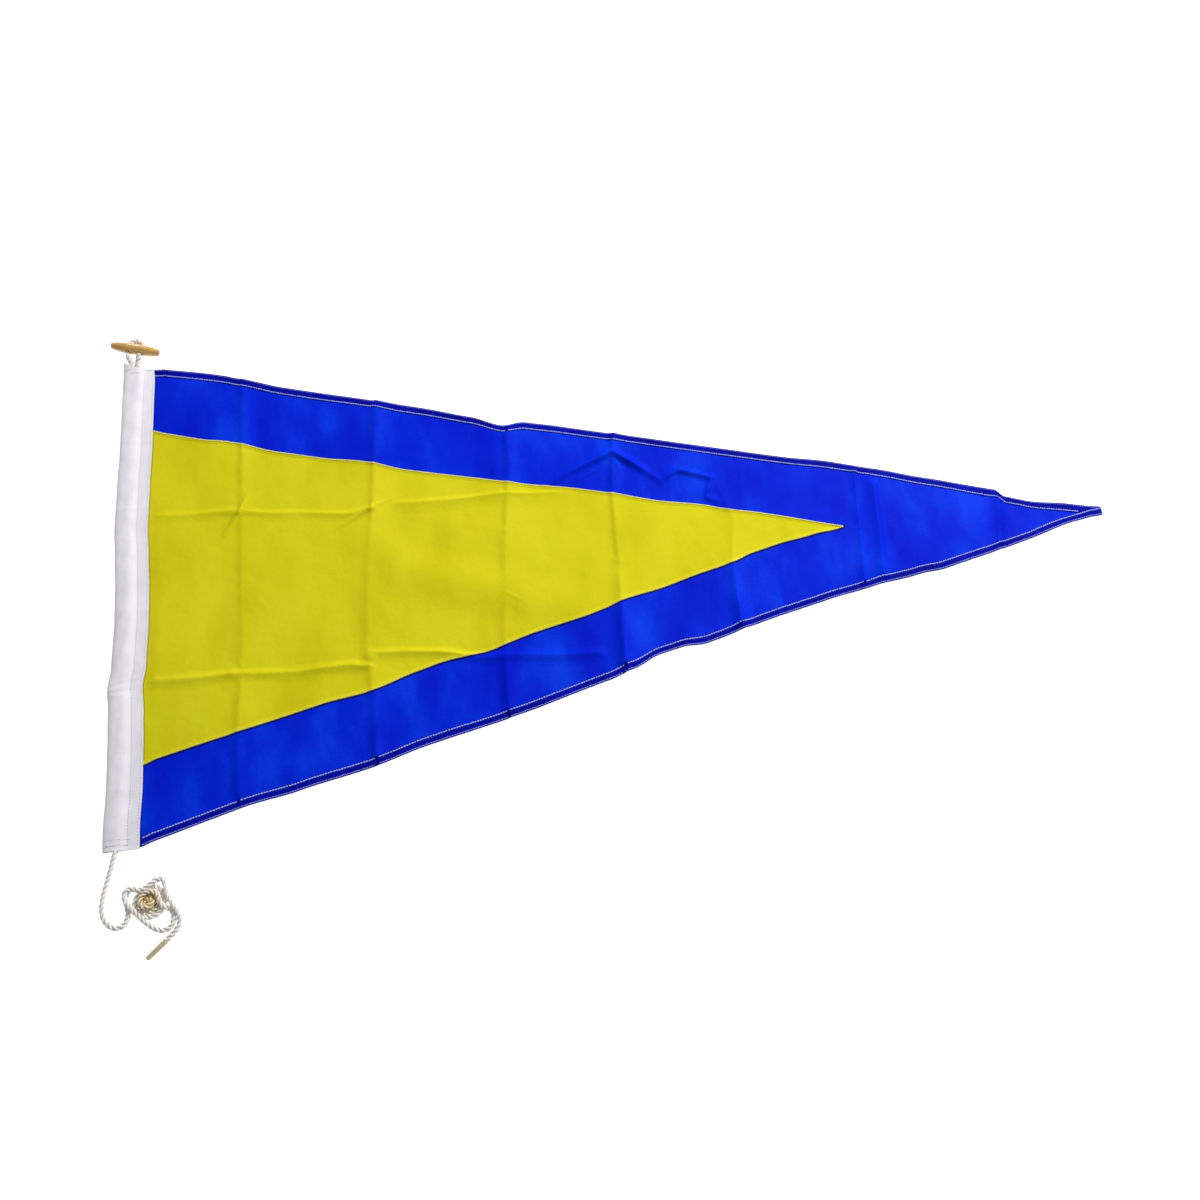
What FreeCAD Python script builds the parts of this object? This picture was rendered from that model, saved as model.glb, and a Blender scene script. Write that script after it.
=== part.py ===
"""Triangular signal pennant with a canvas heading, a rope and toggle at the head and a rope tail.

Frame: the flag lies flat. +X runs along the fly, +Y up the hoist towards the toggle and +Z
away from the surface it lies on. The origin is on the underside of the canvas heading, at
mid-hoist and mid-width. All sizes are in millimetres.
"""
import FreeCAD, Part
import math
import os

from FreeCAD import Vector

# ---- driving dimensions ----
HOIST = 600.0              # cloth edge that is sewn into the heading
FLY = 1200.0               # hoist to the point where the two long edges would meet
TIP_CUT = 1188.0           # the tip is cut square here, measured from the hoist
BORDER = 86.5              # width of the blue border, square to its edge
CLOTH = 0.4                # one layer of bunting
HEM_WIDTH = 10.0
HEM_LAYERS = 2             # cloth turned over twice on top of the face layer
SEAM_WIDTH = 5.0           # turned edge of the yellow panel, lapped on the blue
THREAD_WIDTH = 0.6
THREAD_HEIGHT = 0.2
STITCH_INSET = 1.5         # stitch line to the nearest fold or edge

HEADING_WIDTH = 37.5
HEADING_LENGTH = 604.0
CANVAS = 0.6               # one layer of heading canvas
TAB_WIDTH = 13.0           # cloth sewn in between the two canvas layers
FOLD_GAP = 0.6             # heading edge to the start of the free cloth
STACK_START = 4.8          # hems and seams start here, clear of the folding cloth

ROPE = 5.0                 # rope diameter
ROPE_X = -6.0              # rope in the sleeve
ROPE_Z = 3.15
RETURN_X = -0.3            # short end that is sewn back into the sleeve
RETURN_LENGTH = 38.0
BODY_GAP = 0.3             # clearance between pieces that move against each other

TOGGLE_LENGTH = 60.0
TOGGLE_RADIUS = 7.0
TOGGLE_END_RADIUS = 4.2
TOGGLE_CENTRE = Vector(-3.25, 329.0, 7.0)
TOGGLE_TURN = -15.0        # how far the toggle lies turned from square, in degrees
TOGGLE_HOLES = 7.5         # each hole, from the middle of the toggle
HOLE_RADIUS = 2.8

COIL_CENTRE = Vector(30.0, -358.0, 0.0)
COIL_RADIUS = 18.0
COIL_HEIGHT = 10.0
WHIPPING_LENGTH = 24.0     # bound end of the tail
WHIPPING_RADIUS = 2.7

# Routes of the rope tail, from the foot of the heading to its bound end.
LEAD_ROUTE = [
    (-6.0, -302.0, 3.15), (-9.5, -319.0, 2.9), (-15.0, -340.0, 2.6), (-18.3, -357.0, 2.6),
    (-16.0, -371.5, 2.6), (-5.5, -381.8, 2.6), (5.5, -379.5, 2.6), (9.6, -369.5, 2.6),
    (6.8, -358.5, 2.7), (4.8, -349.5, 2.8), (9.5, -342.5, 2.8), (18.0, -345.0, 2.7),
]
LOOP_ROUTE = [
    (41.0, -361.0, 6.8), (45.5, -366.0, 4.8), (52.0, -367.8, 2.9), (55.0, -376.0, 2.6),
    (53.5, -385.3, 2.6), (45.0, -389.4, 2.6), (35.5, -386.0, 2.6), (26.8, -379.0, 2.7),
    (18.8, -370.5, 4.4), (11.5, -362.3, 7.0), (6.3, -355.0, 8.1), (5.6, -346.6, 8.1),
    (12.5, -342.6, 8.1), (20.0, -346.2, 8.0),
]
END_ROUTE = [
    (27.0, -345.2, 7.9), (33.0, -339.8, 7.6), (39.0, -336.0, 7.2), (45.6, -338.0, 6.8),
    (46.4, -346.5, 6.4), (48.9, -355.5, 6.4), (54.3, -364.2, 6.8), (60.2, -373.5, 5.4),
    (61.5, -383.0, 3.2), (56.5, -391.5, 2.8), (47.0, -399.5, 2.8),
]
# The wound turns inside the coil, as mean radius and share of a turn: three turns that wind
# inwards on the surface, then half a turn up the middle and a layer that winds outwards.
COIL_TURNS = [(15.6, 1.0), (10.4, 0.95), (5.0, 1.1), (2.5, 0.5), (9.0, 0.76)]

# ---- worked out from the above ----
half_heading = HEADING_WIDTH / 2
hoist_x = half_heading
half_hoist = HOIST / 2
slope = half_hoist / FLY                               # fall of the long edges
edge_angle = math.atan(slope)
border_y = half_hoist - BORDER / math.cos(edge_angle)  # top corner of the yellow panel
apex = border_y / slope                                # its point, from the hoist
rope_radius = ROPE / 2
head_y = HEADING_LENGTH / 2
tip_half = (FLY - TIP_CUT) * slope
hem_height = CLOTH * HEM_LAYERS
swing_y = head_y + BODY_GAP + rope_radius              # line that the becket folds about

nodes = {}


def edge_y(x, inset=0.0):
    """Height of the flag's upper edge at x from the hoist, moved in by inset."""
    return half_hoist - slope * x - inset / math.cos(edge_angle)


def seam_y(x, inset=0.0):
    """Height of the yellow panel's upper edge at x from the hoist, moved in by inset."""
    return border_y - slope * x - inset / math.cos(edge_angle)


def plate(outline, z, thickness):
    """Flat solid on an outline given from the hoist line, z up from the surface."""
    points = [Vector(hoist_x + x, y, z) for x, y in outline]
    return Part.Face(Part.makePolygon(points + points[:1])).extrude(Vector(0, 0, thickness))


def mirrored(outline):
    return [(x, -y) for x, y in reversed(outline)]


def bar(start, end, width, height, z):
    """Flat strip of thread between two points of the row frame."""
    a = Vector(start[0], start[1], z)
    b = Vector(end[0], end[1], z)
    side = (b - a).cross(Vector(0, 0, 1)).normalize() * (width / 2)
    points = [a + side, b + side, b - side, a - side, a + side]
    return Part.Face(Part.makePolygon(points)).extrude(Vector(0, 0, height))


def route_wire(points, name):
    """Straight runs joined by tangent arcs, each as large as its two runs allow."""
    corners = [Vector(*p) for p in points]
    edges = []
    radii = []
    reached = corners[0]
    for before, here, after in zip(corners, corners[1:], corners[2:]):
        back = (before - here).normalize()
        ahead = (after - here).normalize()
        reach = 0.45 * min((before - here).Length, (after - here).Length)
        half_turn = (math.pi - back.getAngle(ahead)) / 2
        radius = reach / math.tan(half_turn)
        radii.append(radius)
        first = here + back * reach
        last = here + ahead * reach
        towards = (back + ahead).normalize()
        middle = here + towards * (radius / math.cos(half_turn) - radius)
        edges.append(Part.LineSegment(reached, first).toShape())
        edges.append(Part.Arc(first, middle, last).toShape())
        reached = last
    edges.append(Part.LineSegment(reached, corners[-1]).toShape())
    wire = Part.Wire(edges)
    print(name, "length", round(wire.Length, 1), "radii", [round(r, 1) for r in radii])
    return wire


def tube(points, name, radius=rope_radius):
    """Rope of round section along a route, and a check of its volume."""
    wire = route_wire(points, name)
    start = Vector(*points[0])
    heading = (Vector(*points[1]) - start).normalize()
    section = Part.Wire(Part.makeCircle(radius, start, heading))
    solid = wire.makePipeShell([section], True, True)
    print(name, "volume share", round(solid.Volume / (math.pi * radius ** 2 * wire.Length), 4))
    return solid, wire.Length


def capsule(a, b, radius):
    """Short stretch of rope with round ends."""
    along = b - a
    solid = Part.makeCylinder(radius, along.Length, a, along)
    for centre in (a, b):
        solid = solid.fuse(Part.makeSphere(radius, centre))
    return solid.removeSplitter()


def on_toggle(x, y, z=0.0):
    """Point of the toggle's own frame, x along the barrel, in the row frame."""
    turn = FreeCAD.Rotation(Vector(0, 0, 1), TOGGLE_TURN)
    return TOGGLE_CENTRE + turn.multVec(Vector(x, y, z))


# ---- cloth of the fly ----
def cloth():
    nodes["yellow_panel"] = plate(
        [(FOLD_GAP, seam_y(FOLD_GAP)), (apex, 0.0), (FOLD_GAP, -seam_y(FOLD_GAP))], 0.0, CLOTH)
    nodes["blue_border"] = plate(
        [(FOLD_GAP, edge_y(FOLD_GAP)), (TIP_CUT, tip_half), (TIP_CUT, -tip_half),
         (FOLD_GAP, -edge_y(FOLD_GAP)), (FOLD_GAP, -seam_y(FOLD_GAP)), (apex, 0.0),
         (FOLD_GAP, seam_y(FOLD_GAP))], 0.0, CLOTH)


def hems_and_seams():
    """Turned edges of the blue border and lapped edges of the yellow panel."""
    meet = FLY - HEM_WIDTH / math.cos(edge_angle) / slope    # the two hems touch here
    hem = [(STACK_START, edge_y(STACK_START)), (TIP_CUT, tip_half), (TIP_CUT, 0.0),
           (meet, 0.0), (STACK_START, edge_y(STACK_START, HEM_WIDTH))]
    nodes["upper_hem"] = plate(hem, CLOTH, hem_height)
    nodes["lower_hem"] = plate(mirrored(hem), CLOTH, hem_height)
    seam_meet = apex - SEAM_WIDTH / math.cos(edge_angle) / slope
    seam = [(STACK_START, seam_y(STACK_START)), (apex, 0.0), (seam_meet, 0.0),
            (STACK_START, seam_y(STACK_START, SEAM_WIDTH))]
    nodes["upper_seam"] = plate(seam, CLOTH, CLOTH)
    nodes["lower_seam"] = plate(mirrored(seam), CLOTH, CLOTH)


def fly_threads():
    """Two stitch lines along each hem and one along each seam."""
    hem_top = CLOTH + hem_height
    seam_top = CLOTH * 2
    inner = HEM_WIDTH - STITCH_INSET
    lines_end = FLY - (inner / math.cos(edge_angle) + THREAD_WIDTH) / slope
    for side, name in ((1, "upper"), (-1, "lower")):
        lines = []
        for inset in (STITCH_INSET, inner):
            start = (hoist_x + STACK_START, side * edge_y(STACK_START, inset))
            end = (hoist_x + lines_end, side * edge_y(lines_end, inset))
            lines.append(bar(start, end, THREAD_WIDTH, THREAD_HEIGHT, hem_top))
        nodes[name + "_hem_thread"] = Part.makeCompound(lines)
        stop = apex - (STITCH_INSET / math.cos(edge_angle) + THREAD_WIDTH) / slope
        start = (hoist_x + STACK_START, side * seam_y(STACK_START, STITCH_INSET))
        end = (hoist_x + stop, side * seam_y(stop, STITCH_INSET))
        nodes[name + "_seam_thread"] = bar(start, end, THREAD_WIDTH, THREAD_HEIGHT, seam_top)


# ---- heading ----
def heading():
    """Canvas strip folded lengthways: a sleeve for the rope, then two flat layers."""
    crown = ROPE_Z + rope_radius + 0.1
    flat_top = 2 * CANVAS + CLOTH
    section = [
        (half_heading, 0.0), (-half_heading + 1.2, 0.0), (-half_heading, 0.8),
        (-half_heading, 1.3), (-half_heading + 1.2, 2.3), (-9.0, crown - 0.05),
        (-7.0, crown + CANVAS), (0.6, crown + CANVAS), (2.4, crown - 0.4), (5.2, flat_top),
        (half_heading, flat_top), (half_heading, CANVAS + CLOTH), (4.9, CANVAS + CLOTH),
        (1.9, crown - 0.95), (0.4, crown), (-6.9, crown), (-8.7, crown - 0.6),
        (-half_heading + 1.55, 1.75), (-half_heading + 0.6, 1.15),
        (-half_heading + 0.6, 0.95), (-half_heading + 1.45, CANVAS), (half_heading, CANVAS),
    ]
    points = [Vector(x, -head_y, z) for x, z in section]
    face = Part.Face(Part.makePolygon(points + points[:1]))
    nodes["heading_band"] = face.extrude(Vector(0, HEADING_LENGTH, 0))


def hoist_tabs():
    """Edges of the cloth that are sewn in between the canvas layers."""
    tab_end = -BODY_GAP
    tab_start = -TAB_WIDTH
    colours = {"yellow_hoist_tab": [(-border_y, border_y)],
               "blue_hoist_tabs": [(border_y, half_hoist), (-half_hoist, -border_y)]}
    for name, spans in colours.items():
        strips = [plate([(tab_start, low), (tab_end, low), (tab_end, high), (tab_start, high)],
                        CANVAS, CLOTH) for low, high in spans]
        nodes[name] = Part.makeCompound(strips) if len(strips) > 1 else strips[0]


def heading_threads():
    """Two long rows of stitching and the cross stitching that closes the sleeve."""
    flat_top = 2 * CANVAS + CLOTH
    crown_top = ROPE_Z + rope_radius + 0.1 + CANVAS
    end_y = head_y - 4.0
    for name, x in (("sleeve_thread", 6.2), ("hoist_edge_thread", half_heading - 2.2)):
        nodes[name] = bar((x, -end_y), (x, end_y), THREAD_WIDTH, THREAD_HEIGHT, flat_top)
    for name, side, rows in (("head_bar_tack", 1, 2), ("foot_bar_tack", -1, 3)):
        stitches = []
        for row in range(rows):
            y = side * (head_y - 3.0 - 4.0 * row)
            for column in range(3):
                x = -6.4 + 2.4 * column
                stitches.append(bar((x, y), (x + 1.6, y - side * 2.4), THREAD_WIDTH,
                                    THREAD_HEIGHT, crown_top))
        nodes[name] = Part.makeCompound(stitches)


def sleeve_ropes():
    """Rope through the whole sleeve, and its short end sewn in beside it at the head."""
    up = Vector(0, 1, 0)
    nodes["hoist_rope"] = Part.makeCylinder(
        rope_radius, HEADING_LENGTH, Vector(ROPE_X, -head_y, ROPE_Z), up)
    nodes["becket_return_end"] = Part.makeCylinder(
        rope_radius, RETURN_LENGTH, Vector(RETURN_X, head_y - RETURN_LENGTH, ROPE_Z), up)


# ---- becket and toggle ----
def becket():
    """The two strands between the heading and the toggle, and the bight through it."""
    mouth = -(TOGGLE_RADIUS + BODY_GAP + rope_radius)
    strands = []
    for x, hole in ((ROPE_X, -TOGGLE_HOLES), (RETURN_X, TOGGLE_HOLES)):
        strands.append(capsule(Vector(x, swing_y, ROPE_Z), on_toggle(hole, mouth), rope_radius))
    nodes["becket_strands"] = Part.makeCompound(strands)

    low = -TOGGLE_RADIUS + 0.2
    shoulder = TOGGLE_RADIUS
    left_low = on_toggle(-TOGGLE_HOLES, low)
    left_high = on_toggle(-TOGGLE_HOLES, shoulder)
    top = on_toggle(0.0, shoulder + TOGGLE_HOLES)
    right_high = on_toggle(TOGGLE_HOLES, shoulder)
    right_low = on_toggle(TOGGLE_HOLES, low)
    path = Part.Wire([
        Part.LineSegment(left_low, left_high).toShape(),
        Part.Arc(left_high, top, right_high).toShape(),
        Part.LineSegment(right_high, right_low).toShape(),
    ])
    section = Part.Wire(Part.makeCircle(rope_radius, left_low, left_high - left_low))
    nodes["becket_bight"] = path.makePipeShell([section], True, True)
    print("becket: strands", [round(s.BoundBox.DiagonalLength, 1) for s in strands],
          "bight", round(path.Length, 1))


def toggle():
    """Turned barrel with rounded shoulders, flat ends and two holes across it."""
    half = TOGGLE_LENGTH / 2
    chamfer = 0.8
    belly = Part.Arc(Vector(-half + chamfer, TOGGLE_END_RADIUS, 0), Vector(0, TOGGLE_RADIUS, 0),
                     Vector(half - chamfer, TOGGLE_END_RADIUS, 0)).toShape()
    ends = Part.makePolygon([
        Vector(half - chamfer, TOGGLE_END_RADIUS, 0), Vector(half, TOGGLE_END_RADIUS - chamfer, 0),
        Vector(half, 0, 0), Vector(-half, 0, 0), Vector(-half, TOGGLE_END_RADIUS - chamfer, 0),
        Vector(-half + chamfer, TOGGLE_END_RADIUS, 0)])
    profile = Part.Face(Part.Wire([belly] + ends.Edges))
    barrel = profile.revolve(Vector(0, 0, 0), Vector(1, 0, 0), 360)
    for x in (-TOGGLE_HOLES, TOGGLE_HOLES):
        hole = Part.makeCylinder(HOLE_RADIUS, 4 * TOGGLE_RADIUS,
                                 Vector(x, -2 * TOGGLE_RADIUS, 0), Vector(0, 1, 0))
        barrel = barrel.cut(hole)
    barrel.Placement = FreeCAD.Placement(
        TOGGLE_CENTRE, FreeCAD.Rotation(Vector(0, 0, 1), TOGGLE_TURN))
    nodes["toggle"] = barrel


# ---- rope tail ----
def coil_solid():
    """Outer shape of the wound turns: a round puck with rounded rims."""
    rim = rope_radius
    profile = Part.Wire([
        Part.LineSegment(Vector(0, 0, 0), Vector(COIL_RADIUS - rim, 0, 0)).toShape(),
        Part.Arc(Vector(COIL_RADIUS - rim, 0, 0),
                 Vector(COIL_RADIUS - rim * (1 - math.sqrt(0.5)), 0, rim * (1 - math.sqrt(0.5))),
                 Vector(COIL_RADIUS, 0, rim)).toShape(),
        Part.LineSegment(Vector(COIL_RADIUS, 0, rim),
                         Vector(COIL_RADIUS, 0, COIL_HEIGHT - rim)).toShape(),
        Part.Arc(Vector(COIL_RADIUS, 0, COIL_HEIGHT - rim),
                 Vector(COIL_RADIUS - rim * (1 - math.sqrt(0.5)), 0,
                        COIL_HEIGHT - rim * (1 - math.sqrt(0.5))),
                 Vector(COIL_RADIUS - rim, 0, COIL_HEIGHT)).toShape(),
        Part.LineSegment(Vector(COIL_RADIUS - rim, 0, COIL_HEIGHT),
                         Vector(0, 0, COIL_HEIGHT)).toShape(),
        Part.LineSegment(Vector(0, 0, COIL_HEIGHT), Vector(0, 0, 0)).toShape(),
    ])
    solid = Part.Face(profile).revolve(Vector(0, 0, 0), Vector(0, 0, 1), 360)
    solid.translate(COIL_CENTRE)
    return solid


def tail():
    nodes["tail_rope_coil"] = coil_solid()
    total = sum(2 * math.pi * radius * share for radius, share in COIL_TURNS)
    for name, route in (("lead", LEAD_ROUTE), ("loop", LOOP_ROUTE), ("end", END_ROUTE)):
        solid, length = tube(route, "tail_rope_" + name)
        nodes["tail_rope_" + name] = solid
        total += length
    print("tail rope length", round(total))

    mouth = Vector(*END_ROUTE[-1])
    outward = (mouth - Vector(*END_ROUTE[-2])).normalize()
    nodes["tail_whipping"] = Part.makeCylinder(
        WHIPPING_RADIUS, WHIPPING_LENGTH, mouth, outward)
    print("whipping middle", mouth + outward * (WHIPPING_LENGTH / 2), "axis", outward)


def main():
    os.makedirs("parts", exist_ok=True)
    for make in (cloth, hems_and_seams, fly_threads, heading, hoist_tabs, heading_threads,
                 sleeve_ropes, becket, toggle, tail):
        make()
    for name, shape in nodes.items():
        for solid in shape.Solids:
            if not solid.isValid():
                raise ValueError(name + " isn't a valid solid")
        shape.exportStep("parts/" + name + ".step")
    print(len(nodes), "nodes")


main()
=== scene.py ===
"""Looks of the signal pennant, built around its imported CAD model.

Frame: the flag lies on the floor. +X runs along the fly, +Y up the hoist towards the toggle and
+Z up from the floor. Everything is in metres. "u" is the distance along the fly from the hoist
line, and "v" the distance up the hoist from the middle, both measured on the flat cloth.
"""

import math

import bpy
import numpy as np
from mathutils import Matrix, Vector


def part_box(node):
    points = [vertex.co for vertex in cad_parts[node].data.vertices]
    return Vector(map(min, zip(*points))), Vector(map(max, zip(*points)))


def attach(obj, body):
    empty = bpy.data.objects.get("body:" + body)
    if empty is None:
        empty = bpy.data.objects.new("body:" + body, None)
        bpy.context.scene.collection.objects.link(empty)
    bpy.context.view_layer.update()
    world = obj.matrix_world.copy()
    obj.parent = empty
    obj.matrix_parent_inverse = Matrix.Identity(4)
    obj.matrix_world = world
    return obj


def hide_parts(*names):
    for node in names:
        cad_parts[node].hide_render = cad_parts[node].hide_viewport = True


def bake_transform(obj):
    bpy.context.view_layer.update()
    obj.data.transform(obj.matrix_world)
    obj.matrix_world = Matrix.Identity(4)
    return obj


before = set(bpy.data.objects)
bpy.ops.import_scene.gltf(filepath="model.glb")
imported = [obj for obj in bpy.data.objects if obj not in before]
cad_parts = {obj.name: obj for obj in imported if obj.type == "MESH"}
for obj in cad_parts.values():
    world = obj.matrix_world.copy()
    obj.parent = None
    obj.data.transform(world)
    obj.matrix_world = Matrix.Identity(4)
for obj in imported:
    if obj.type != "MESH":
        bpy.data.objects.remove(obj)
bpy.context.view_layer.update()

MM = 0.001
SEED = 11

# ---- sizes read from the frame ----
head_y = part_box("heading_band")[1][1]
half_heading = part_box("heading_band")[1][0]
half_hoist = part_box("blue_hoist_tabs")[1][1]
border_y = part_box("yellow_hoist_tab")[1][1]
tip_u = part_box("blue_border")[1][0] - half_heading
apex_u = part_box("yellow_panel")[1][0] - half_heading
slope = border_y / apex_u
edge_angle = math.atan(slope)

# ---- sizes of the cloth, the rope and the toggle ----
CLOTH = 0.4 * MM
CANVAS = 0.6 * MM
HEM_WIDTH = 10.0 * MM
SEAM_WIDTH = 5.0 * MM
STITCH_INSET = 1.4 * MM
SEAM_STITCH_INSET = 0.5 * MM  # the seam is sewn close to its folded edge
SEAM_THREAD_WIDTH = {1: 1.2 * MM, -1: 0.6 * MM}     # the upper seam's thread stands up more
TAB_WIDTH = 13.0 * MM
TAB_HEIGHT = 0.8 * MM        # middle of the cloth between the two canvas layers
ROPE = 5.0 * MM
ROPE_LAY = 17.0 * MM         # length in which a strand goes once round the rope
ROPE_PLACE = (-0.006, 0.00315)      # rope in the sleeve, x and z
RETURN_PLACE = (-0.0003, 0.00315)   # the becket's short end beside it
TOGGLE_CENTRE = Vector((-0.00325, 0.329, 0.007))
TOGGLE_TURN = math.radians(-15.0)
TOGGLE_LENGTH = 0.060
TOGGLE_RADIUS = 0.007
TOGGLE_END_RADIUS = 0.0042
TOGGLE_HOLES = 0.0075        # the holes' distance from the barrel's middle
HOLE_RADIUS = 0.0028


# ---- camera: above the hoist's foot, looking along the fly and turned a little ----
CAMERA_PLACE = Vector((0.3906, -0.5293, 1.1733))
CAMERA_RIGHT = Vector((0.9886, -0.1296, 0.0766)).normalized()
CAMERA_BACK = Vector((-0.1193, -0.3636, 0.9239)).normalized()   # away from what it looks at
CAMERA_LENS = 31.72          # mm, on a sensor 36 mm wide


def place_camera():
    data = bpy.data.cameras.new("camera")
    data.sensor_width = 36.0
    data.lens = CAMERA_LENS
    camera = bpy.data.objects.new("camera", data)
    turn = Matrix((CAMERA_RIGHT, CAMERA_BACK.cross(CAMERA_RIGHT), CAMERA_BACK)).transposed()
    camera.matrix_world = Matrix.Translation(CAMERA_PLACE) @ turn.to_4x4()
    bpy.context.collection.objects.link(camera)
    bpy.context.scene.camera = camera


# ---- general helpers ----
def unit(vectors):
    """Vectors of length one along the last axis."""
    length = np.linalg.norm(vectors, axis=-1, keepdims=True)
    return vectors / np.maximum(length, 1e-12)


def ease(t):
    """Smooth step from 0 to 1."""
    t = np.clip(t, 0.0, 1.0)
    return t * t * (3.0 - 2.0 * t)


def eased(points, at):
    """Values at given places, eased between a few chosen (place, value) points in millimetres."""
    places = np.array([p[0] for p in points]) * MM
    values = np.array([p[1] for p in points]) * MM
    at = np.clip(at, places[0], places[-1])
    i = np.clip(np.searchsorted(places, at) - 1, 0, len(places) - 2)
    t = ease((at - places[i]) / (places[i + 1] - places[i]))
    return values[i] * (1.0 - t) + values[i + 1] * t


def mesh_object(name, vertices, faces):
    mesh = bpy.data.meshes.new(name)
    mesh.from_pydata(np.asarray(vertices, float).tolist(), [], faces)
    mesh.polygons.foreach_set("use_smooth", [True] * len(mesh.polygons))
    mesh.update()
    obj = bpy.data.objects.new(name, mesh)
    bpy.context.collection.objects.link(obj)
    return obj


def grid_faces(rows, columns, closed=False):
    """Faces of a grid of points, numbered row by row, closed round the columns if asked."""
    faces = []
    for r in range(rows - 1):
        for c in range(columns if closed else columns - 1):
            d = (c + 1) % columns
            faces.append((r * columns + c, r * columns + d,
                          (r + 1) * columns + d, (r + 1) * columns + c))
    return faces


def tube_faces(count, around):
    """Faces round a tube of so many rings, and its two ends."""
    faces = grid_faces(count, around, closed=True)
    faces.append(tuple(range(around))[::-1])
    faces.append(tuple((count - 1) * around + i for i in range(around)))
    return faces


def ring_points(centre, side, up, radius, count):
    """Points round a ring, with one radius or one for each point."""
    angles = 2 * math.pi * np.arange(count) / count
    radius = np.broadcast_to(radius, count)
    return (centre + np.outer(radius * np.cos(angles), side)
            + np.outer(radius * np.sin(angles), up))


def tube_object(name, rings):
    """Closed skin over rings of points, each ring with the same number of points."""
    count, around = rings.shape[:2]
    return mesh_object(name, rings.reshape(-1, 3), tube_faces(count, around))


def closed_sheet(name, points, faces, thickness):
    """Sheet with a real thickness, from the points and faces of its middle surface."""
    points = np.asarray(points, float)
    quads = np.array(faces)
    diagonals = np.cross(points[quads[:, 2]] - points[quads[:, 0]],
                         points[quads[:, 3]] - points[quads[:, 1]])
    normals = np.zeros_like(points)
    for corner in range(4):
        np.add.at(normals, quads[:, corner], diagonals)
    normals = unit(normals)
    top = points + normals * thickness / 2
    bottom = points - normals * thickness / 2
    count = len(points)
    edges = {}
    for face in faces:
        for a, b in zip(face, face[1:] + face[:1]):
            edges[(a, b)] = True
    walls = [(b, a, a + count, b + count) for a, b in edges if (b, a) not in edges]
    under = [tuple(i + count for i in reversed(face)) for face in faces]
    return mesh_object(name, np.vstack((top, bottom)), list(faces) + under + walls)


def join(name, objects):
    """One object from several."""
    bpy.ops.object.select_all(action="DESELECT")
    for obj in objects:
        obj.select_set(True)
    bpy.context.view_layer.objects.active = objects[0]
    bpy.ops.object.join()
    objects[0].name = name
    objects[0].data.name = name
    return objects[0]


# ---- how the cloth lies ----
# Each line of the flag's pattern wanders from its straight line by this much: (u, amount).
TOP_WANDER = [
    (0, 2), (85, 5), (120, 3), (160, 0), (330, -1.5), (390, -4.5), (427, -10.5), (460, -1),
    (500, 0), (780, 1), (845, 4), (900, 3), (960, 0), (1052, -3), (1064, -11), (1095, -13),
    (1147, -9), (1168, -8.4), (1188, -6.5),
]
BEYOND_SEAMS_WANDER = [(835, 0.5), (900, 1.5), (960, -4), (1045, -8.5), (1065, -10), (1188, -9.3)]
UPPER_SEAM_WANDER = [
    (0, -1.5), (60, -3), (90, -1), (150, -6), (205, -6), (255, -2.5), (310, -6), (440, -3),
    (520, 1.5), (560, 1.5), (610, 0), (670, 3), (700, 1.5), (730, 3),
] + BEYOND_SEAMS_WANDER
LOWER_SEAM_WANDER = [
    (0, 2), (190, 0), (250, -4), (300, 0.5), (328, 1.5), (385, -4), (440, -0.5), (500, -2),
    (563, 2.5), (600, 1), (655, 3), (690, 3), (720, 7), (752, 7), (800, 4),
] + BEYOND_SEAMS_WANDER
BOTTOM_WANDER = [
    (0, 1), (110, 3.6), (165, 0), (250, -3), (300, -0.5), (400, -2.5), (520, 0.5), (550, 3),
    (585, 10), (612, 9.5), (645, 3.5), (735, 5.5), (800, 4.5), (860, 1), (925, -4),
    (960, -8.5), (1040, -9.5), (1080, -9), (1135, -6.5), (1165, -8.5), (1188, -11.5),
]

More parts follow.
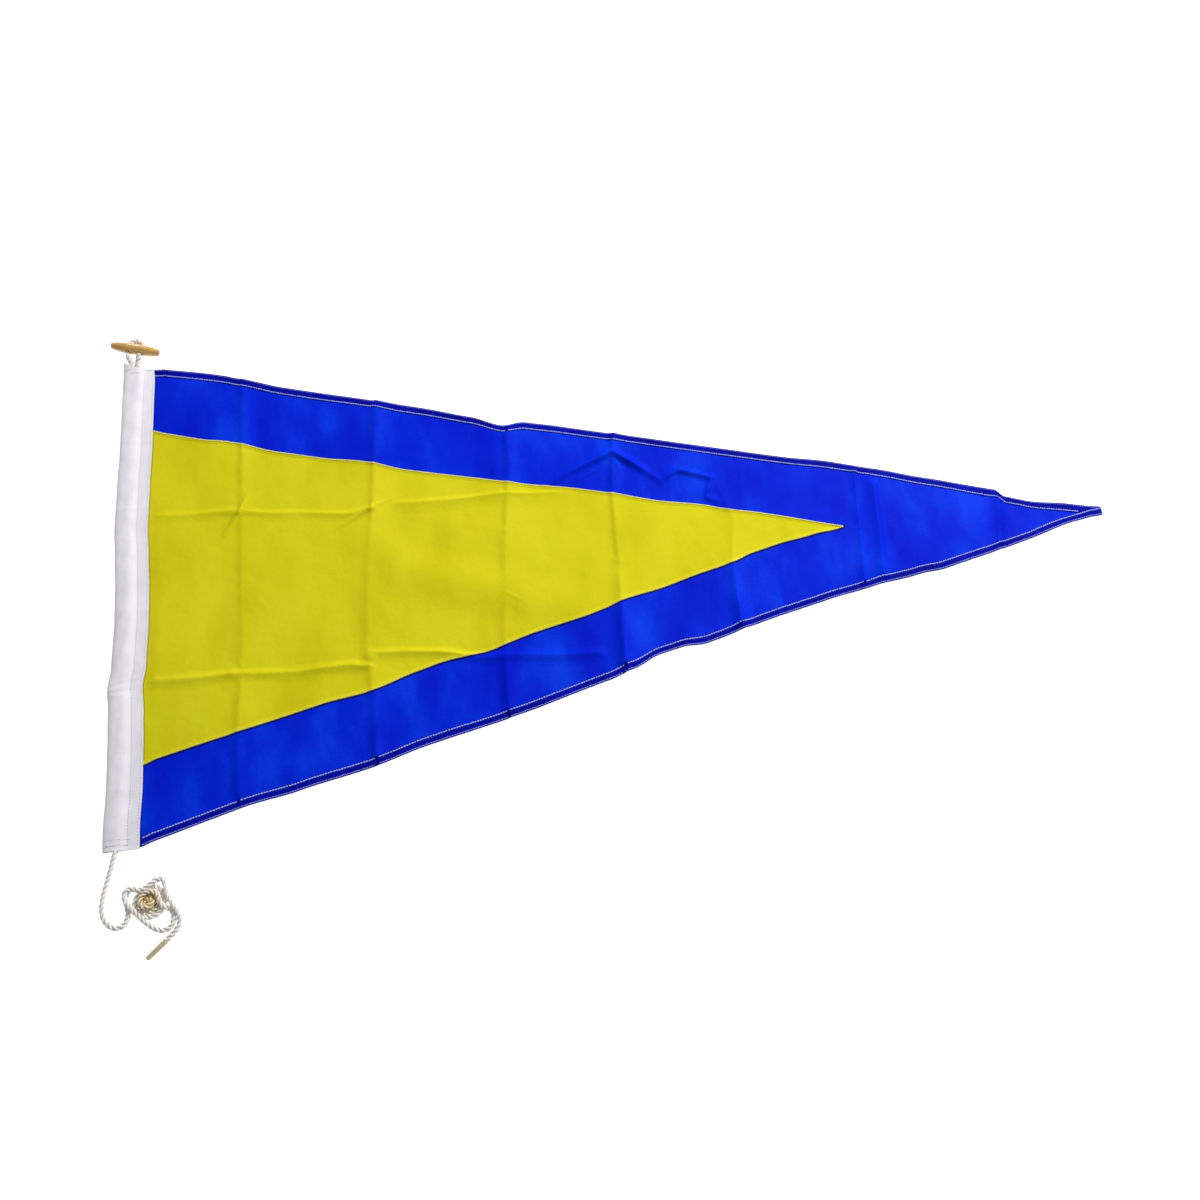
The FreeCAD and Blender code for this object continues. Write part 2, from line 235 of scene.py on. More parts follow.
# Creases left by folding: points (u, v, height), then the width of the slope on the near
# side (left of a crease across the fly, below one along it) and on the far side.
CREASES = [
    ([(109, 277, 2.8), (108, 185, 2.0), (106, 65, 1.5), (106, -84, 1.3), (100, -194, 2.0),
      (100, -258, 3.6)], 11, 32),
    ([(272, 224, 3.6), (262, 87, 2.3), (252, 7, 1.5), (246, -99, 1.8), (250, -152, 2.4),
      (250, -225, 4.6)], 12, 34),
    ([(433, 176, 3.2), (432, 128, 2.4), (419, 36, 1.6)], 8, 24),
    ([(419, 36, 1.6), (404, -115, 2.4), (401, -188, 4.8)], 14, 34),
    ([(568, 155, 3.2), (557, 79, 2.5), (552, -21, 2.4)], 8, 26),
    ([(552, -21, 2.4), (548, -74, 3.9), (542, -150, 8.0)], 17, 36),
    ([(687, 86, 1.4), (704, 23, 1.8), (691, -40, 3.6), (688, -123, 7.6)], 17, 22),
    ([(874, 72, 3.4), (853, -76, 3.6)], 14, 5),
    ([(894, 53, 4.6), (879, -67, 5.4)], 24, 12),
    ([(1054, 24, 3.8), (1036, -45, 3.2)], 16, 10),
    ([(-1, 93, 1.2), (61, 92, 2.0), (96, 91, 3.0), (175, 86, 1.8), (234, 78, 2.8), (262, 82, 3.4)],
     12, 7),
    ([(1, -117, 2.2), (48, -118, 2.6), (95, -117, 3.6), (169, -121, 2.9), (226, -117, 3.8),
      (248, -119, 4.0)], 14, 9),
    ([(251, -103, 2.8), (302, -111, 3.6), (367, -121, 3.8), (398, -123, 3.8), (456, -131, 3.4),
      (515, -134, 2.8)], 14, 9),
    ([(295, 88, 1.9), (356, 87, 2.6), (418, 89, 3.0), (500, 80, 1.4)], 18, 7),
    ([(470, 88, 0.5), (510, 108, 5.0), (564, 130, 8.2), (588, 112, 6.4), (620, 86, 1.6)], 9, 11),
    ([(505, 88, 0.4), (540, 107, 3.0), (562, 124, 1.0)], 6, 7),
    ([(564, 130, 1.0), (568, 112, 3.0), (574, 92, 0.4)], 8, 7),
    ([(620, 85, 2.2), (644, 97, 6.0), (686, 82, 4.8), (675, 54, 3.6), (691, 48, 2.2)], 8, 8),
    ([(84, 56, 0.2), (95, 74, 3.4), (104, 88, 5.6), (111, 106, 3.2), (117, 126, 0.2)], 6, 7),
    ([(132, 118, 0.2), (116, 103, 3.0), (104, 87, 5.0), (92, 84, 0.4)], 5, 6),
    ([(222, 62, 0.2), (240, 72, 3.0), (260, 83, 5.2), (268, 100, 0.4)], 7, 6),
    ([(258, 80, 4.4), (276, 90, 2.4), (292, 98, 0.2)], 5, 6),
    ([(400, -39, 0.2), (419, -50, 2.8), (438, -64, 0.3)], 6, 6),
]
# Soft swells with no crease line.
SWELLS = [
    ([(260, 33, 1.5), (289, -5, 2.5), (394, -37, 3), (436, -55, 2.5), (498, -78, 1.5)], 42, 42),
]
CREST = 0.6                  # a crease's top is rounded over this much, in millimetres
# Small knots where two creases cross: (u, v, height, reach).
PINCHES = [(95, -117, 2.2, 6), (250, -109, 3.2, 7)]
LEAST_HEIGHT = 0.3 * MM      # of the cloth's middle over the floor
FLOOR_GRIP = 1.5             # how sharply the cloth flattens where it meets the floor
SETTLE = 14.0 * MM           # the cloth lies flat for this far beside the heading
TIP_START = 1.080            # u from which the two hems share the narrowing tip


def edge_v(u, inset=0.0):
    """Height of the flat flag's upper edge at u, moved in by inset."""
    return half_hoist - slope * u - inset / math.cos(edge_angle)


def seam_v(u, inset=0.0):
    """Height of the flat yellow panel's upper edge at u, moved in by inset."""
    return border_y - slope * u - inset / math.cos(edge_angle)


def hem_v(u, side, inset):
    """Height of a line inset from a long edge, for a hem that narrows to fit the blunt tip."""
    half = np.maximum(edge_v(u), 0.1 * MM)
    room = 2 * half + eased(TOP_WANDER, u) - eased(BOTTOM_WANDER, u)
    across = inset / math.cos(edge_angle) * np.minimum(1.0, room * math.cos(edge_angle) / HEM_WIDTH)
    stretch = 1.0 + (2 * half / room - 1.0) * ease((u - TIP_START) / (20.0 * MM))
    return side * (np.minimum(half, half_hoist) - across * stretch)


def crease_height(u, v, line, near, far, sharp):
    """Height of one crease: a ridge along a line, with a slope of its own on each side."""
    u, v = u / MM, v / MM
    best = np.full(u.shape, 1e9)
    height = np.zeros(u.shape)
    for (u0, v0, h0), (u1, v1, h1) in zip(line, line[1:]):
        du, dv = u1 - u0, v1 - v0
        t = np.clip(((u - u0) * du + (v - v0) * dv) / (du * du + dv * dv), 0.0, 1.0)
        away_u = u - u0 - t * du
        away_v = v - v0 - t * dv
        distance = np.hypot(away_u, away_v)
        width = np.where(du * away_v < dv * away_u, near, far)
        if sharp:
            ridge = np.clip(1.0 - np.hypot(distance, CREST) / width, 0.0, 1.0) ** 2
        else:
            ridge = 1.0 - ease(distance / width)
        nearer = distance < best
        best = np.where(nearer, distance, best)
        height = np.where(nearer, (h0 + t * (h1 - h0)) * MM * ridge, height)
    return height


def waves(u, v, count, shortest, longest, height, seed):
    """Sum of a few seeded waves in all directions."""
    rng = np.random.default_rng(SEED + seed)
    total = np.zeros(u.shape)
    for _ in range(count):
        direction = rng.uniform(0.0, math.pi)
        length = rng.uniform(shortest, longest)
        phase = rng.uniform(0.0, 2 * math.pi)
        place = u * math.cos(direction) + v * math.sin(direction)
        total += np.sin(2 * math.pi * place / length + phase)
    return total * height / math.sqrt(count)


def cloth_height(u, v):
    squares = np.zeros(u.shape)
    for lines, sharp in ((CREASES, True), (SWELLS, False)):
        for line, near, far in lines:
            squares += crease_height(u, v, line, near, far, sharp) ** 2
    for pu, pv, height, reach in PINCHES:
        distance = np.hypot(u - pu * MM, v - pv * MM)
        squares += (height * MM * np.exp(-(distance / (reach * MM)) ** 2)) ** 2
    broad = waves(u, v, 7, 0.11, 0.30, 0.7 * MM, 1)
    fine = waves(u, v, 12, 0.03, 0.07, 0.10 * MM, 2)
    height = np.sqrt(squares) + broad + fine + 1.0 * MM
    return LEAST_HEIGHT + np.logaddexp(0.0, height / MM * FLOOR_GRIP) * MM / FLOOR_GRIP


def cloth_wander(u, v):
    """How far the cloth has slipped up or down the hoist."""
    top, bottom = eased(TOP_WANDER, u), eased(BOTTOM_WANDER, u)
    upper, lower = eased(UPPER_SEAM_WANDER, u), eased(LOWER_SEAM_WANDER, u)
    seam = np.maximum(seam_v(u), 0.0)
    edge = np.maximum(edge_v(u), seam + 1e-4)
    inside = np.clip((v + seam) / np.maximum(2 * seam, 1e-4), 0.0, 1.0)
    beyond = np.clip((np.abs(v) - seam) / (edge - seam), 0.0, 1.0)
    middle = lower * (1.0 - inside) + upper * inside
    outer = np.where(v > 0, top, bottom)
    return np.where(np.abs(v) <= seam, middle, middle * (1.0 - beyond) + outer * beyond)


def lie(u, v):
    """Where the points (u, v) of the flat cloth's middle surface lie on the floor."""
    u, v = np.broadcast_arrays(np.asarray(u, float), np.asarray(v, float))
    free = ease(u / SETTLE)
    z = TAB_HEIGHT * (1.0 - free) + cloth_height(u, v) * free
    y = v + cloth_wander(u, v) * free
    return np.stack((half_heading + u, y, z), axis=-1)


def lie_frame(u, v):
    """Points of the lying cloth with the direction square to it."""
    step = 0.5 * MM
    along = lie(u + step, v) - lie(u - step, v)
    across = lie(u, v + step) - lie(u, v - step)
    return lie(u, v), unit(np.cross(along, across))


# ---- cloth pieces ----
def columns_along(end, spacing):
    """Places along the fly: closely spaced where the cloth folds beside the heading."""
    fold = np.arange(-TAB_WIDTH, 8.0 * MM, 0.9 * MM)
    rest = np.linspace(8.0 * MM, end, int(round((end - 8.0 * MM) / spacing)) + 1)
    return np.concatenate((fold, rest))


# Painted shade: a shadow painted on the cloth beside the heading's edge, and a painted shadow line
# beside each seam.
HEADING_SHADE = 0.7
SEAM_SHADE = 0.95
SEAM_SHADE_WIDTH = (0.6 * MM, 1.7 * MM)     # dark line beside the upper and the lower seam


def mark_painted_shade(sheet, beside_seam):
    """Marks where the cloth gets painted shade: beside the heading's edge, and along the seams."""
    places = np.empty(len(sheet.data.vertices) * 3)
    sheet.data.vertices.foreach_get("co", places)
    x, y = places.reshape(-1, 3).T[:2]
    beside = 1.0 - ease((x - half_heading - heading_wander(y) - 0.4 * MM) / (1.4 * MM))
    painted_shade = sheet.data.attributes.new("painted_shade", "FLOAT", "POINT")
    painted_shade.data.foreach_set("value", np.maximum(beside * HEADING_SHADE, beside_seam))
    return sheet


def yellow_sheet():
    u = columns_along(apex_u - 2.0 * MM, 2.0 * MM)
    across = np.linspace(-1.0, 1.0, 197)
    flat_u = np.repeat(u[:, None], len(across), axis=1)
    flat_v = np.minimum(seam_v(flat_u), border_y) * across[None, :]
    points = lie(flat_u, flat_v).reshape(-1, 3)
    sheet = closed_sheet("yellow_sheet", points, grid_faces(len(u), len(across)), CLOTH)
    return mark_painted_shade(sheet, 0.0)


def blue_sheet():
    """Both arms of the border and the end of the fly in one piece, forked at the yellow point."""
    arm_rows = 46
    tight = columns_along(apex_u, 2.0 * MM)
    u = np.concatenate((tight, np.linspace(apex_u, tip_u, 176)[1:]))
    fork = len(tight) - 1
    beside_seam = (0.0, 0.006, 0.012, 0.018, 0.024)
    share = np.concatenate((beside_seam, np.linspace(0.04, 1.0, arm_rows - len(beside_seam))))
    points = []
    index = {}
    for side in (1, -1):
        for c, place in enumerate(u):
            inner = min(max(seam_v(place), 0.0), border_y)
            outer = min(edge_v(place), half_hoist)
            for r, s in enumerate(share):
                if side == -1 and r == 0 and c >= fork:
                    index[side, c, r] = index[1, c, r]
                    continue
                index[side, c, r] = len(points)
                points.append((place, side * (inner + (outer - inner) * s)))
    faces = []
    for side in (1, -1):
        for c in range(len(u) - 1):
            for r in range(arm_rows - 1):
                face = (index[side, c, r], index[side, c + 1, r],
                        index[side, c + 1, r + 1], index[side, c, r + 1])
                faces.append(face if side == 1 else face[::-1])
    flat = np.array(points)
    # Painted shadow line beside each seam, darkest next to it and fading out.
    from_seam = np.abs(flat[:, 1]) - np.clip(seam_v(flat[:, 0]), 0.0, border_y)
    edge = np.where(flat[:, 1] > 0.0, *SEAM_SHADE_WIDTH)
    near_seam = 1.0 - ease((from_seam - edge) / (1.2 * MM))
    near_seam[flat[:, 0] > apex_u] = 0.0
    sheet = closed_sheet("blue_sheet", lie(flat[:, 0], flat[:, 1]), faces, CLOTH)
    return mark_painted_shade(sheet, np.tile(near_seam * SEAM_SHADE, 2))


TIP_RISE = 1.0 * MM
STRIP_START = -3.0 * MM      # hems and seams run this far into the heading


def tip_rise(u, side):
    """The lower hem climbs over the upper one at the end of the fly."""
    climb = ease((u - (tip_u - 60.0 * MM)) / (40.0 * MM))
    return TIP_RISE * climb * (side < 0)


def folded_strip(name, side, line, end, spacing, thin, profile, pucker, seed):
    """Turned edge of cloth: a flattened profile carried along a line of the lying cloth.

    line(u, inset) gives the flat height of the line that far in from the fold, and thin the share
    of its thickness that the strip has where it enters the heading. profile holds (distance in
    from the fold, height above the cloth's middle) pairs."""
    u = np.arange(STRIP_START, end, spacing)
    taper = thin + (1.0 - thin) * ease((u - STRIP_START) / (5.0 * MM))
    rings = []
    ripple = waves(u, u * 0, 9, 0.004, 0.011, pucker, seed)
    for inset, height in profile:
        swell = ripple * (1.0 if height > 0.5 * CLOTH else 0.3)
        flat_v = line(u, inset) - side * swell * 0.8
        point, normal = lie_frame(u, flat_v)
        lift = np.where(height > 0, (height + swell) * taper, height)
        point[:, 2] += tip_rise(u, side)
        rings.append(point + normal * lift[:, None])
    return tube_object(name, np.stack(rings, axis=1))


def strip_profile(width, low, high, inner_high):
    """Flattened loop of a turned edge, from the fold round over the top to the inner edge."""
    half = (high - low) / 2
    inner_half = (inner_high - low) / 2
    outer = [(-(0.25 * half + 0.1 * MM) * math.sin(a), low + half - half * math.cos(a))
             for a in np.linspace(0.0, math.pi, 6)]
    top = [(width * t, high + (inner_high - high) * t + 0.12 * MM * math.sin(math.pi * t))
           for t in (0.2, 0.4, 0.6, 0.8)]
    inner = [(width + 0.6 * inner_half * math.sin(a), low + inner_half + inner_half * math.cos(a))
             for a in np.linspace(0.0, math.pi, 5)]
    return outer + top + inner


def hem(name, side, seed):
    """Hem of one long edge: the cloth turned over twice on top of itself."""
    def line(u, inset):
        return hem_v(u, side, inset)
    profile = strip_profile(HEM_WIDTH, -0.35 * CLOTH, 2.5 * CLOTH, 1.6 * CLOTH)
    return folded_strip(name, side, line, tip_u - 0.5 * MM, 1.3 * MM, 0.35, profile, 0.10 * MM, seed)


def seam(name, side, seed):
    """Edge of the yellow panel, turned under and lapped on the blue."""
    def line(u, inset):
        top = np.minimum(seam_v(u), border_y) + 0.4 * MM
        narrow = np.clip(top / (SEAM_WIDTH * 1.15), 0.05, 1.0)
        return side * (top - inset * narrow / math.cos(edge_angle))
    profile = strip_profile(SEAM_WIDTH, -0.2 * CLOTH, 2.7 * CLOTH, 0.3 * CLOTH)
    return folded_strip(name, side, line, apex_u - 1.0 * MM, 1.6 * MM, 0.4, profile, 0.06 * MM, seed)


# One stitch: (share of its length, share of its width, rise as a share of its height).
STITCH_SHAPE = ((0.0, 0.35, -0.5), (0.2, 0.95, 0.25), (0.8, 0.95, 0.25), (1.0, 0.35, -0.5))


def stitches(name, starts, ends, normals, width, height):
    """Separate stitches, each sunk into the cloth at both ends."""
    around = 5
    side = unit(np.cross(normals, unit(ends - starts)))
    rings = []
    for place, swell, rise in STITCH_SHAPE:
        centre = starts + (ends - starts) * place + normals * (rise * height)
        for k in range(around):
            angle = 2 * math.pi * k / around
            rings.append(centre + side * (math.cos(angle) * width / 2 * swell)
                         + normals * (math.sin(angle) * height * swell))
    points = np.stack(rings, axis=1).reshape(-1, 3)
    shape = tube_faces(len(STITCH_SHAPE), around)
    faces = [tuple(i + first for i in face)
             for first in range(0, len(points), len(rings)) for face in shape]
    return mesh_object(name, points, faces)


def sewn_line(line, side, last, pitch, length, lift, seed):
    """Stitches along a line of the flat cloth, given as v for each u, from beside the heading."""
    rng = np.random.default_rng(SEED + seed)
    u = np.arange(1.0 * MM, last - length, pitch)
    u = u + rng.normal(0.0, 0.08 * MM, len(u))
    slack = rng.normal(0.0, 0.10 * MM, (2, len(u)))
    ends = u + length
    p0, n0 = lie_frame(u, line(u) + slack[0])
    p1, n1 = lie_frame(ends, line(ends) + slack[1])
    p0[:, 2] += tip_rise(u, side)
    p1[:, 2] += tip_rise(ends, side)
    normals = unit(n0 + n1)
    return p0 + normals * lift, p1 + normals * lift, normals


def hem_stitches(name, side, seed):
    lower = side < 0
    places = [(STITCH_INSET, 2.6 * CLOTH, 0.9 * MM if lower else 0.5 * MM),
              (HEM_WIDTH - STITCH_INSET, 2.0 * CLOTH, 1.7 * MM)]
    rows = []
    for k, (inset, lift, width) in enumerate(places):
        def line(u, inset=inset):
            return hem_v(u, side, inset)
        last = tip_u - 2.0 * MM - (0.0 if lower else k * 30.0 * MM)
        row = sewn_line(line, side, last, 3.0 * MM, 2.85 * MM, lift, seed + k)
        rows.append(stitches(name + str(k), *row, width, 0.2 * MM))
    return join(name, rows)


def seam_stitches(name, side, seed):
    def line(u):
        return side * seam_v(u, SEAM_STITCH_INSET)
    last = apex_u - SEAM_STITCH_INSET / slope
    row = sewn_line(line, side, last, 2.6 * MM, 2.5 * MM, 3.0 * CLOTH, seed)
    return stitches(name, *row, SEAM_THREAD_WIDTH[side], 0.22 * MM)


# ---- heading ----
# The heading's edge wanders from its straight line: (y, amount).
HEADING_WANDER = [
    (-302, -1.2), (-278, -1.6), (-235, 0.0), (-190, -0.3), (-150, -1.2), (-121, -3.0),
    (-95, 0.2), (-40, 1.6), (0, 1.2), (40, -0.6), (79, -2.4), (132, -1.4), (190, 0.2),
    (245, 0.6), (280, 1.0), (302, 0.8),
]
# Wrinkles across the heading: (y, height, reach, slant).
HEADING_CREASES = [
    (-121, 0.9, 5, 0.18), (-131, 0.5, 4, -0.1), (-113, 0.4, 4, 0.3), (103, 0.5, 5, 0.1),
    (61, 0.35, 5, -0.12), (-30, 0.25, 7, 0.1), (196, 0.3, 6, 0.08), (-238, 0.3, 6, -0.15),
]
# Middle of the canvas across the heading, (x, z), from the lower right edge round the fold.
SLEEVE_FOLD = [
    (18.75, 0.3), (8.0, 0.3), (-4.0, 0.3), (-17.0, 0.3), (-18.5, 0.9), (-18.7, 2.3),
    (-18.0, 3.9), (-15.9, 5.2), (-12.6, 5.9), (-9.0, 6.15),
]
SINGLE_SLEEVE = SLEEVE_FOLD + [      # over one rope
    (-5.8, 6.2), (-2.6, 5.9), (0.4, 5.0), (3.2, 3.4), (5.6, 2.2), (8.4, 1.9), (13.0, 1.6),
    (18.75, 1.25),
]
DOUBLE_SLEEVE = SLEEVE_FOLD + [      # over the rope and the becket's returning end
    (-5.6, 6.25), (-1.8, 6.2), (1.2, 5.7), (4.2, 3.9), (6.6, 2.3), (9.2, 1.85), (14.0, 1.55),
    (18.75, 1.25),
]
RETURN_LENGTH = 38.0 * MM
RETURN_EASE = 14.0 * MM      # the sleeve narrows to one rope over this length
HEAD_EAR = 9.0 * MM          # the head is cut aslant, this much longer at the fold
EAR_REACH = 24.0 * MM


def rounded(points, times):
    """Line with its corners cut a few times, which leaves a smooth curve."""
    line = np.array(points, float)
    for _ in range(times):
        before, after = line[:-1], line[1:]
        cut = np.stack((before * 0.75 + after * 0.25, before * 0.25 + after * 0.75), axis=1)
        line = np.vstack((line[:1], cut.reshape(-1, 2), line[-1:]))
    return line


def heading_wander(y):
    return eased(HEADING_WANDER, y)


def heading_band():
    """Canvas strip folded lengthways over the rope and sewn flat over the cloth's edge."""
    single = rounded(SINGLE_SLEEVE, 2) * MM
    double = rounded(DOUBLE_SLEEVE, 2) * MM
    rows = np.linspace(-head_y, head_y, 341)
    with_return = ease((rows - (head_y - RETURN_LENGTH - RETURN_EASE)) / RETURN_EASE)
    sections = []
    for y, share in zip(rows, with_return):
        section = single * (1.0 - share) + double * share
        x, z = section[:, 0], section[:, 1]
        upper = ease((z - 0.9 * MM) / (0.6 * MM))
        sleeve = ease((5.0 * MM - x) / (6.0 * MM)) * upper
        flat = (1.0 - sleeve) * upper
        place = np.full(x.shape, y)
        rumple = waves(x * 1.5, place, 10, 0.012, 0.035, 0.20 * MM, 30)
        lift = rumple * (sleeve + 0.35 * flat)
        for cy, height, reach, slant in HEADING_CREASES:
            distance = np.abs(y - cy * MM - slant * x)
            fold = np.clip(1.0 - distance / (reach * MM), 0.0, 1.0) ** 2
            lift = lift + height * MM * fold * upper * (0.55 + 0.45 * sleeve)
        ear = HEAD_EAR * np.clip((-3.0 * MM - x) / (half_heading - 3.0 * MM), 0.0, 1.0)
        stretch = ear * ease((y - head_y + EAR_REACH) / EAR_REACH)
        sections.append(np.stack((x + heading_wander(y), y + stretch, z + lift), axis=1))
    grid = np.stack(sections)
    points = grid.reshape(-1, 3)
    faces = [face[::-1] for face in grid_faces(grid.shape[0], grid.shape[1])]
    return closed_sheet("heading_canvas", points, faces, CANVAS), grid


def heading_top(grid, x, y):
    """Points on top of the heading's canvas, and the direction square to it."""
    points, normals = [], []
    rows = grid[:, 0, 1]
    half = grid.shape[1] // 2
    for px, py in zip(x, y):
        r = min(max(int(np.searchsorted(rows, py)), 1), len(rows) - 2)
        section = grid[r][half:]
        c = int(np.argmin(np.abs(section[:, 0] - px)))
        c = min(max(c, 1), len(section) - 2)
        across = section[c + 1] - section[c - 1]
        normal = unit(np.cross(across, np.array((0.0, 1.0, 0.0))))
        normal = normal * (1.0 if normal[2] > 0 else -1.0)
        z = np.interp(px, section[:, 0], section[:, 2])
        points.append(np.array((px, py, z)) + normal * CANVAS / 2)
        normals.append(normal)
    return np.array(points), np.array(normals)


def canvas_stitches(name, grid, segments):
    """Stitches on the heading, each given by its two ends (x, y)."""
    ends = np.array(segments, float)
    p0, n0 = heading_top(grid, ends[:, 0, 0], ends[:, 0, 1])
    p1, n1 = heading_top(grid, ends[:, 1, 0], ends[:, 1, 1])
    return stitches(name, p0, p1, unit(n0 + n1), 0.6 * MM, 0.25 * MM)


def long_row(x, seed):
    """Stitches down the whole heading."""
    rng = np.random.default_rng(SEED + seed)
    segments = []
    for y in np.arange(-head_y + 4.0 * MM, head_y - 7.0 * MM, 3.4 * MM):
        slack = rng.normal(0.0, 0.08 * MM, 2)
        segments.append(((x + heading_wander(y) + slack[0], y),
                         (x + heading_wander(y) + slack[1], y + 2.8 * MM)))
    return segments


def cross_row(y, first, last, pitch, length, slant, seed):
    """Stitches across the heading, straight or slanted, zigzag when slant changes sign."""
    rng = np.random.default_rng(SEED + seed)
    segments = []
    for n, x in enumerate(np.arange(first, last, pitch)):
        lean = slant if n % 2 == 0 else -slant
        jitter = rng.normal(0.0, 0.12 * MM, 2)
        segments.append(((x, y - lean / 2 + jitter[0]),
                         (x + length, y + lean / 2 + jitter[1])))
    return segments


# ---- rope ----
# Route of the tail, repeated from the CAD model: the lead from the heading's foot, the loop
# beside the coil and the end. The wound turns between them come from coil_turns().
TAIL_LEAD = [
    (-0.006, -0.302, 0.00315), (-0.0095, -0.319, 0.0029), (-0.015, -0.34, 0.0026),
    (-0.0183, -0.357, 0.0026), (-0.016, -0.3715, 0.0026), (-0.0055, -0.3818, 0.0026),
    (0.0055, -0.3795, 0.0026), (0.0096, -0.3695, 0.0026), (0.0068, -0.3585, 0.0027),
    (0.0048, -0.3495, 0.0028), (0.0095, -0.3425, 0.0028), (0.018, -0.345, 0.0027),
]
TAIL_LOOP = [
    (0.041, -0.361, 0.0068), (0.0455, -0.366, 0.0048), (0.052, -0.3678, 0.0029),
    (0.055, -0.376, 0.0026), (0.0535, -0.3853, 0.0026), (0.045, -0.3894, 0.0026),
    (0.0355, -0.386, 0.0026), (0.0268, -0.379, 0.0027), (0.0188, -0.3705, 0.0044),
    (0.0115, -0.3623, 0.007), (0.0063, -0.355, 0.0081), (0.0056, -0.3466, 0.0081),
    (0.0125, -0.3426, 0.0081), (0.02, -0.3462, 0.008),
]
TAIL_END = [
    (0.027, -0.3452, 0.0079), (0.033, -0.3398, 0.0076), (0.039, -0.336, 0.0072),
    (0.0456, -0.338, 0.0068), (0.0464, -0.3465, 0.0064), (0.0489, -0.3555, 0.0064),
    (0.0543, -0.3642, 0.0068), (0.0602, -0.3735, 0.0054), (0.0615, -0.383, 0.0032),
    (0.0565, -0.3915, 0.0028), (0.047, -0.3995, 0.0028),
]
COIL_CENTRE = Vector((0.0300, -0.3580, 0.005))
COIL_START_ANGLE = math.radians(137.5)
# Radius and height of the rope after so many turns: a layer winding in, then one winding out.
COIL_TURNS = [
    (0.0, 15.6, 2.6), (0.3, 15.2, 2.6), (0.6, 16.2, 2.6), (0.9, 15.4, 2.6), (1.15, 10.9, 2.6),
    (1.55, 10.4, 2.6), (1.9, 9.8, 2.6), (2.1, 5.6, 2.6), (2.5, 5.2, 2.8), (2.95, 4.4, 3.3),
    (3.2, 1.6, 4.6), (3.45, 3.8, 6.4), (3.7, 6.8, 7.7), (3.9, 8.8, 7.9), (4.1, 9.9, 7.8),
    (4.31, 11.0, 7.4),
]
# Painted shade: the rope is painted darker and yellower inside the coil, where the turns shade each
# other.
COIL_TINT_REACH = 17.0 * MM  # the rope is yellower inside the coil, nearer than this
COIL_TINT_CORE = 5.0 * MM
SOFT_LAY = 1.2               # the free rope is this much fuller than where it's pulled tight
WHIPPING_LENGTH = 24.0 * MM
WHIPPING_RADIUS = 3.1 * MM


def coil_turns():
    """Wound turns of the tail, clockwise from above."""
    turns = [t for t, _, _ in COIL_TURNS]
    per_turn = 14
    count = int(turns[-1] * per_turn)
    points = []
    for i in range(1, count + 1):
        t = i * turns[-1] / (count + 0.5)
        radius = np.interp(t, turns, [r for _, r, _ in COIL_TURNS]) * MM
        height = np.interp(t, turns, [z for _, _, z in COIL_TURNS]) * MM
        angle = COIL_START_ANGLE - 2 * math.pi * t
        points.append((COIL_CENTRE.x + radius * math.cos(angle),
                       COIL_CENTRE.y + radius * math.sin(angle), height))
    return points


def smooth_line(name, points, spacing):
    """Evenly spaced points along the NURBS spline with these control points."""
    curve = bpy.data.curves.new(name, "CURVE")
    curve.dimensions = "3D"
    curve.resolution_u = 16
    spline = curve.splines.new("NURBS")
    spline.points.add(len(points) - 1)
    for point, place in zip(spline.points, points):
        point.co = (*place, 1.0)
    spline.order_u = 3
    spline.use_endpoint_u = True
    holder = bpy.data.objects.new(name, curve)
    bpy.context.collection.objects.link(holder)
    mesh = bpy.data.meshes.new_from_object(holder)
    line = np.array([v.co[:] for v in mesh.vertices])
    bpy.data.objects.remove(holder)
    bpy.data.curves.remove(curve)
    bpy.data.meshes.remove(mesh)
    steps = np.linalg.norm(np.diff(line, axis=0), axis=1)
    run = np.concatenate(([0.0], np.cumsum(steps)))
    even = np.linspace(0.0, run[-1], int(run[-1] / spacing) + 1)
    return np.stack([np.interp(even, run, line[:, k]) for k in range(3)], axis=1)


def carried_frame(line):
    """Directions along a line and two square to it that don't spin as it bends."""
    along = unit(np.gradient(line, axis=0))
    side = np.zeros_like(line)
    side[0] = unit(np.cross(along[0], (0.0, 0.0, 1.0)))
    for i in range(1, len(line)):
        side[i] = unit(side[i - 1] - along[i] * np.dot(side[i - 1], along[i]))
    return along, side, np.cross(along, side)


def laid_rope(name, line, first=0, last=None, swell=1.0):
    """Three strands laid round a line, each of several yarns, between two of its points.

    swell makes the rope fuller than its own size, everywhere or point by point."""
    strands, around, yarns = 3, 18, 5
    strand_radius = 0.25 * ROPE
    helix_radius = ROPE / 2 - strand_radius
    flatten = 1.08
    _, side, other = carried_frame(line)
    step = np.linalg.norm(line[1] - line[0])
    run = np.arange(len(line)) * step
    fuller = swell * np.ones(len(line))
    pieces = []
    for k in range(strands):
        turn = 2 * math.pi * (run / ROPE_LAY + k / strands)
        out = side * np.cos(turn)[:, None] + other * np.sin(turn)[:, None]
        tangent = -side * np.sin(turn)[:, None] + other * np.cos(turn)[:, None]
        centre = line + out * (helix_radius * fuller)[:, None]
        rings = []
        for a in range(around):
            angle = 2 * math.pi * a / around
            twist = yarns * angle + 2 * math.pi * run / (9.0 * MM)
            radius = strand_radius * (1.0 + 0.07 * np.cos(twist)) * fuller
            rings.append(centre + out * (radius * math.cos(angle))[:, None]
                         + tangent * (radius * math.sin(angle) * flatten)[:, None])
        skin = np.stack(rings, axis=1)[first:last]
        piece = tube_object(name + str(k), skin)
        # How far the skin faces away from the rope's middle; the rope's material paints shade in the
        # grooves from it.
        outward = piece.data.attributes.new("outward", "FLOAT", "POINT")
        angles = np.arange(around) * 2 * math.pi / around
        outward.data.foreach_set("value", np.tile(0.5 + 0.5 * np.cos(angles), len(skin)))
        pieces.append(piece)
    return join(name, pieces)


